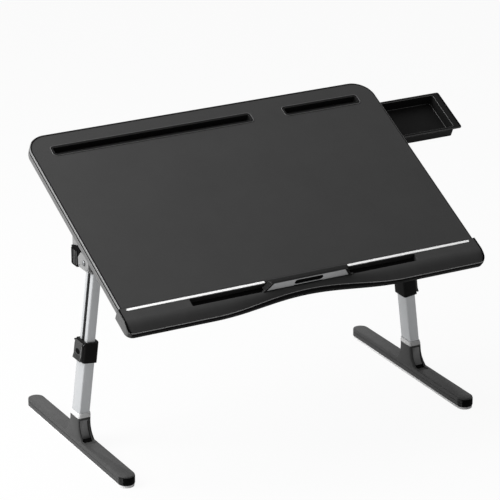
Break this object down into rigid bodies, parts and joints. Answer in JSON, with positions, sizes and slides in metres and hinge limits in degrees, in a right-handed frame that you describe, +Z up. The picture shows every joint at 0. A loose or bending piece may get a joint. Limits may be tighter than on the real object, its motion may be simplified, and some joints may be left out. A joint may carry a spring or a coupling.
{
  "type": "lap desk",
  "caption": "Tilting lap desk with a leather top, tablet and phone slots, a flip-up book stop, a pull-out side drawer and folding telescopic legs.",
  "frame": {"origin": "centre of the underside of the desk's bounding box, on the floor between the feet", "axes": "+X to the sitter's right, towards the pulled-out drawer; +Y away from the sitter, towards the tablet slot; +Z up"},
  "size_m": [0.8742, 0.4416, 0.5291],
  "materials": {
    "leather": "fine grained black imitation leather, matt",
    "core": "medium density fibreboard, sealed inside the board",
    "laminate": "black laminate, fine texture",
    "edge": "ribbed edge band, satin",
    "black_plastic": "black moulded plastic, fine spark texture",
    "silicone": "white silicone, matt",
    "grey_plastic": "blue-grey moulded plastic, satin",
    "steel": "zinc plated pressed and turned steel",
    "housing": "light grey moulded nylon, satin",
    "aluminium": "anodised extrusion, silver satin",
    "ring": "light grey moulded plastic, satin",
    "foot_plastic": "dark grey moulded plastic, satin",
    "sole": "light grey soft sole, matt"
  },
  "bodies": {
    "tabletop": {"leather_top": "leather", "board_core": "core", "underside_skin": "laminate", "edge_band": "edge", "front_moulding": "black_plastic", "grip_strip": "silicone", "tablet_slot": "black_plastic", "phone_slot": "black_plastic", "book_stop_pin_left": "steel", "book_stop_pin_right": "steel", "drawer_rail_front": "steel", "drawer_rail_back": "steel", "fold_bracket_left": "steel", "fold_bracket_right": "steel", "fold_pin_left": "steel", "fold_pin_right": "steel"},
    "stop": {"book_stop": "black_plastic", "book_stop_face": "grey_plastic"},
    "drawer_tub": {"drawer": "black_plastic"},
    "arm_left": {"tilt_arm_left": "steel"},
    "leg_upper_left": {"leg_head_left": "housing", "tilt_pin_left": "steel", "inner_tube_left": "aluminium"},
    "lock_button_left": {"tilt_lock_button_left": "black_plastic"},
    "leg_lower_left": {"outer_tube_left": "aluminium", "height_collar_left": "black_plastic", "height_lever_pin_left": "steel", "tube_base_ring_left": "ring", "foot_left": "foot_plastic", "foot_sole_left": "sole"},
    "lever_left": {"height_lever_left": "black_plastic"},
    "arm_right": {"tilt_arm_right": "steel"},
    "leg_upper_right": {"leg_head_right": "housing", "tilt_pin_right": "steel", "inner_tube_right": "aluminium"},
    "lock_button_right": {"tilt_lock_button_right": "black_plastic"},
    "leg_lower_right": {"outer_tube_right": "aluminium", "height_collar_right": "black_plastic", "height_lever_pin_right": "steel", "tube_base_ring_right": "ring", "foot_right": "foot_plastic", "foot_sole_right": "sole"},
    "lever_right": {"height_lever_right": "black_plastic"}
  },
  "joints": [
    {"name": "book_stop_fold", "type": "hinge", "parent": "tabletop", "child": "stop", "pos_m": [-0.06938, -0.20134, 0.3256], "axis": [-1, 0, 0], "range_deg": [0, 90]},
    {"name": "drawer_slide", "type": "slide", "parent": "tabletop", "child": "drawer_tub", "axis": [-1, 0, 0], "range_m": [0, 0.1465]},
    {"name": "leg_fold_left", "type": "hinge", "parent": "tabletop", "child": "arm_left", "pos_m": [-0.37107, -0.00339, 0.38551], "axis": [0, -0.8965, -0.4431], "range_deg": [0, 95]},
    {"name": "tilt_left", "type": "hinge", "parent": "arm_left", "child": "leg_upper_left", "pos_m": [-0.38658, 0.01327, 0.3518], "axis": [1, 0, 0], "range_deg": [-9.7, 26.3]},
    {"name": "tilt_lock_left", "type": "slide", "parent": "leg_upper_left", "child": "lock_button_left", "axis": [1, 0, 0], "range_m": [0, 0.0035], "stiffness_N_per_m": 600, "springref_m": -0.003},
    {"name": "height_left", "type": "slide", "parent": "leg_upper_left", "child": "leg_lower_left", "axis": [0.1201, 0, 0.9928], "range_m": [0, 0.095]},
    {"name": "height_lever_left", "type": "hinge", "parent": "leg_lower_left", "child": "lever_left", "pos_m": [-0.41872, 0.01327, 0.20205], "axis": [0, 1, 0], "range_deg": [0, 75]},
    {"name": "leg_fold_right", "type": "hinge", "parent": "tabletop", "child": "arm_right", "pos_m": [0.23233, -0.00339, 0.38551], "axis": [0, 0.8965, 0.4431], "range_deg": [0, 95]},
    {"name": "tilt_right", "type": "hinge", "parent": "arm_right", "child": "leg_upper_right", "pos_m": [0.24782, 0.01327, 0.3518], "axis": [1, 0, 0], "range_deg": [-9.7, 26.3]},
    {"name": "tilt_lock_right", "type": "slide", "parent": "leg_upper_right", "child": "lock_button_right", "axis": [-1, 0, 0], "range_m": [0, 0.0035], "stiffness_N_per_m": 600, "springref_m": -0.003},
    {"name": "height_right", "type": "slide", "parent": "leg_upper_right", "child": "leg_lower_right", "axis": [-0.1201, 0, 0.9928], "range_m": [0, 0.095]},
    {"name": "height_lever_right", "type": "hinge", "parent": "leg_lower_right", "child": "lever_right", "pos_m": [0.27997, 0.01327, 0.20205], "axis": [0, -1, 0], "range_deg": [0, 75]}
  ],
  "couplings": [
    {"joint": "tilt_right", "follows": "tilt_left", "ratio": 1}
  ]
}
